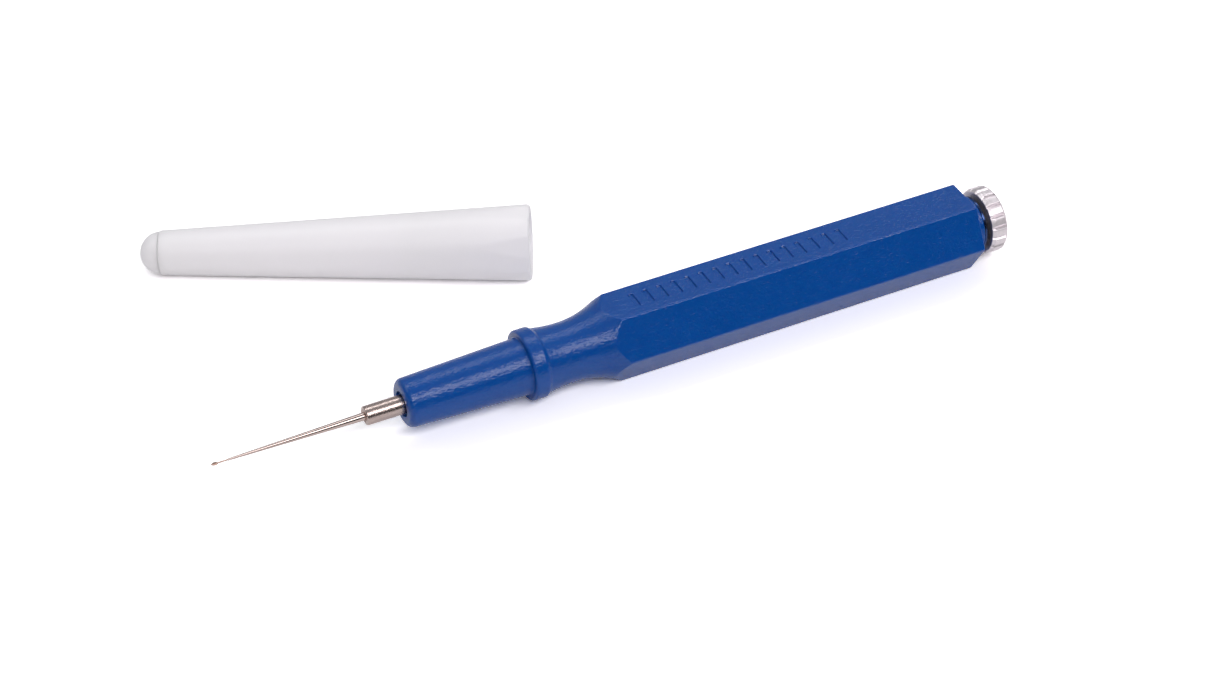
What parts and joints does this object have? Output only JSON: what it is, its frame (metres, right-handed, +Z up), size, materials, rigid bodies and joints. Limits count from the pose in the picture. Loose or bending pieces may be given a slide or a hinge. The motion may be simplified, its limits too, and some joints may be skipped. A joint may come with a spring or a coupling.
{
  "type": "automatic oiler",
  "caption": "Pen-shaped watchmaker's oiler: hexagonal plastic grip, tapered capillary needle with a dosing wire, spring-back press button and a loose tapered cap.",
  "frame": {"origin": "middle of the grip's bottom flat, on the surface that the tool lies on", "axes": "+X along the tool's axis from the needle towards the press button, +Y sideways towards the loose cap, +Z up"},
  "size_m": [0.0995, 0.0479, 0.009],
  "materials": {
    "blue_plastic": "moulded, semi-gloss",
    "white_plastic": "moulded, satin",
    "nickel": "bright nickel plate",
    "steel": "drawn",
    "brass": "turned",
    "aluminium": "turned and fluted",
    "rubber": "moulded"
  },
  "bodies": {
    "handle": {"handle_shell": "blue_plastic", "needle_ferrule": "nickel", "needle_tube": "nickel", "ferrule_seal": "rubber", "holder_sleeve": "brass", "return_spring": "steel", "reservoir_gasket": "rubber", "reservoir_tube": "nickel", "rear_bush": "brass"},
    "wire_carrier": {"wire_holder": "brass", "dosing_wire": "steel"},
    "rear_assembly": {"rear_plug": "nickel", "plug_seal": "rubber", "rod_gland": "rubber", "gland_nut": "brass"},
    "plunger": {"plunger_rod": "steel", "rod_clip": "steel"},
    "button": {"push_button": "aluminium"},
    "cap": {"cap_shell": "white_plastic", "cap_end_plug": "white_plastic"}
  },
  "joints": [
    {"name": "plug_withdraw", "type": "slide", "parent": "handle", "child": "rear_assembly", "axis": [1, 0, 0], "range_m": [0, 0.0028]},
    {"name": "button_press", "type": "slide", "parent": "rear_assembly", "child": "plunger", "axis": [-1, 0, 0], "range_m": [0, 0.0004], "stiffness_N_per_m": 500, "springref_m": -0.001},
    {"name": "button_turn", "type": "hinge", "parent": "plunger", "child": "button", "pos_m": [0.026, 0, 0.0045], "axis": [1, 0, 0], "range_deg": [0, 1440]},
    {"name": "wire_feed", "type": "slide", "parent": "handle", "child": "wire_carrier", "axis": [-1, 0, 0], "range_m": [0, 0.0004], "deforming": ["return_spring"]},
    {"name": "cap_pull_off", "type": "slide", "parent": "handle", "child": "cap", "axis": [-0.8897, 0.4566, 0], "range_m": [0, 0.015]}
  ],
  "couplings": [
    {"joint": "button_turn", "follows": "plug_withdraw", "rad_per_m": 8975.9},
    {"joint": "wire_feed", "follows": "button_press", "ratio": 1}
  ]
}
